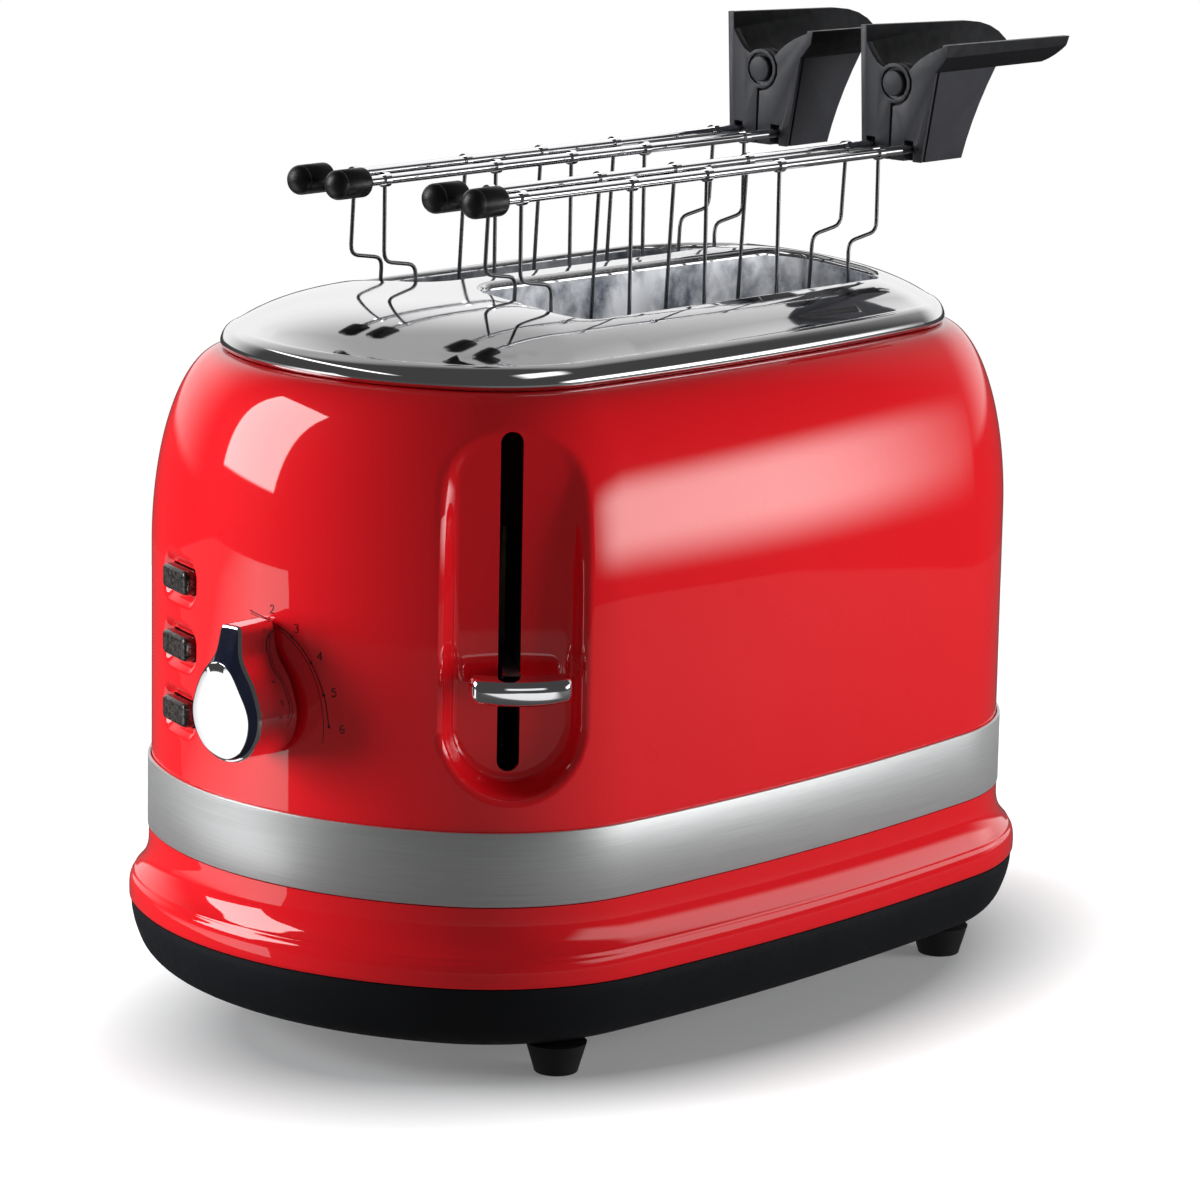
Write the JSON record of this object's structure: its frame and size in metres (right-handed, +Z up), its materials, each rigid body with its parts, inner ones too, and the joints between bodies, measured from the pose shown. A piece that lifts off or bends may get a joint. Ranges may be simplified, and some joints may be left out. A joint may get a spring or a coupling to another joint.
{
  "type": "toaster",
  "caption": "Rounded pop-up toaster with long bread slots, a lever, a browning dial, push buttons, a crumb tray and lift-out hinged wire sandwich cages.",
  "frame": {"origin": "on the floor under the middle of the whole assembly, cages included", "axes": "+Z up, the control end with the dial and buttons faces -Y, the bread slots run along Y, and +X is to the right when facing the dial"},
  "size_m": [0.1886, 0.33, 0.2754],
  "materials": {
    "red_enamel": "high gloss red enamel",
    "brushed_band": "brushed along the band",
    "polished_steel": "mirror polished",
    "chrome_trim": "mirror chrome",
    "cage_wire": "bright plated wire",
    "zinc_steel": "zinc plated sheet",
    "magnet_iron": "wound coil on an iron core",
    "base_plastic": "matte black",
    "foot_rubber": "soft matte black",
    "tip_rubber": "smooth black",
    "grip_plastic": "fine grained dark grey",
    "smoked_button": "smoky metallic gloss",
    "mica": "pressed mica sheet",
    "circuit_board": "coated laminate"
  },
  "bodies": {
    "root": {"base_tray": "base_plastic", "foot_front_left": "foot_rubber", "foot_front_right": "foot_rubber", "foot_rear_left": "foot_rubber", "foot_rear_right": "foot_rubber", "lower_skirt": "red_enamel", "steel_band": "brushed_band", "body_shell": "red_enamel", "top_plate": "polished_steel", "slot_liner_left": "polished_steel", "slot_liner_right": "polished_steel", "cord_gland": "base_plastic", "front_chassis": "zinc_steel", "rear_chassis": "zinc_steel", "heater_board_left": "mica", "heater_board_center": "mica", "heater_board_right": "mica", "bread_guide_left_outer": "zinc_steel", "bread_guide_left_inner": "zinc_steel", "bread_guide_right_inner": "zinc_steel", "bread_guide_right_outer": "zinc_steel", "guide_rod": "chrome_trim", "return_spring": "zinc_steel", "electromagnet": "magnet_iron", "board_bracket": "base_plastic", "control_board": "circuit_board", "dial_potentiometer": "base_plastic"},
    "carriage": {"carriage_slider": "zinc_steel", "bread_rack_left": "zinc_steel", "bread_rack_right": "zinc_steel", "lever_knob": "chrome_trim"},
    "dial": {"browning_knob": "chrome_trim", "knob_shaft": "zinc_steel"},
    "button_low": {"button_low": "smoked_button"},
    "button_middle": {"button_middle": "smoked_button"},
    "button_high": {"button_high": "smoked_button"},
    "tray": {"crumb_tray": "zinc_steel"},
    "cage_left": {"cage_left_grip_left": "grip_plastic", "cage_left_pivot_pin": "grip_plastic", "cage_left_frame_left": "cage_wire", "cage_left_tip_left": "tip_rubber"},
    "cage_left_jaw": {"cage_left_grip_right": "grip_plastic", "cage_left_frame_right": "cage_wire", "cage_left_tip_right": "tip_rubber"},
    "cage_right": {"cage_right_grip_left": "grip_plastic", "cage_right_pivot_pin": "grip_plastic", "cage_right_frame_left": "cage_wire", "cage_right_tip_left": "tip_rubber"},
    "cage_right_jaw": {"cage_right_grip_right": "grip_plastic", "cage_right_frame_right": "cage_wire", "cage_right_tip_right": "tip_rubber"}
  },
  "joints": [
    {"name": "carriage_slide", "type": "slide", "parent": "root", "child": "carriage", "axis": [0, 0, 1], "range_m": [0, 0.062], "deforming": ["return_spring"]},
    {"name": "dial_turn", "type": "hinge", "parent": "root", "child": "dial", "pos_m": [0.0045, -0.149, 0.1015], "axis": [0, 1, 0], "range_deg": [0, 115]},
    {"name": "button_low_press", "type": "slide", "parent": "root", "child": "button_low", "axis": [0.3665, 0.9304, 0], "range_m": [0, 0.0025], "stiffness_N_per_m": 400, "springref_m": -0.001},
    {"name": "button_middle_press", "type": "slide", "parent": "root", "child": "button_middle", "axis": [0.3665, 0.9304, 0], "range_m": [0, 0.0025], "stiffness_N_per_m": 400, "springref_m": -0.001},
    {"name": "button_high_press", "type": "slide", "parent": "root", "child": "button_high", "axis": [0.3665, 0.9304, 0], "range_m": [0, 0.0025], "stiffness_N_per_m": 400, "springref_m": -0.001},
    {"name": "tray_slide", "type": "slide", "parent": "root", "child": "tray", "axis": [0, 1, 0], "range_m": [0, 0.15]},
    {"name": "cage_left_lift", "type": "slide", "parent": "carriage", "child": "cage_left", "axis": [0, 0, 1], "range_m": [0, 0.15]},
    {"name": "cage_left_jaw_open", "type": "hinge", "parent": "cage_left", "child": "cage_left_jaw", "pos_m": [-0.0252, 0.093, 0.2588], "axis": [0, -1, 0], "range_deg": [0, 2.5]},
    {"name": "cage_right_lift", "type": "slide", "parent": "carriage", "child": "cage_right", "axis": [0, 0, 1], "range_m": [0, 0.15]},
    {"name": "cage_right_jaw_open", "type": "hinge", "parent": "cage_right", "child": "cage_right_jaw", "pos_m": [0.0272, 0.093, 0.2588], "axis": [0, -1, 0], "range_deg": [0, 2.5]}
  ]
}
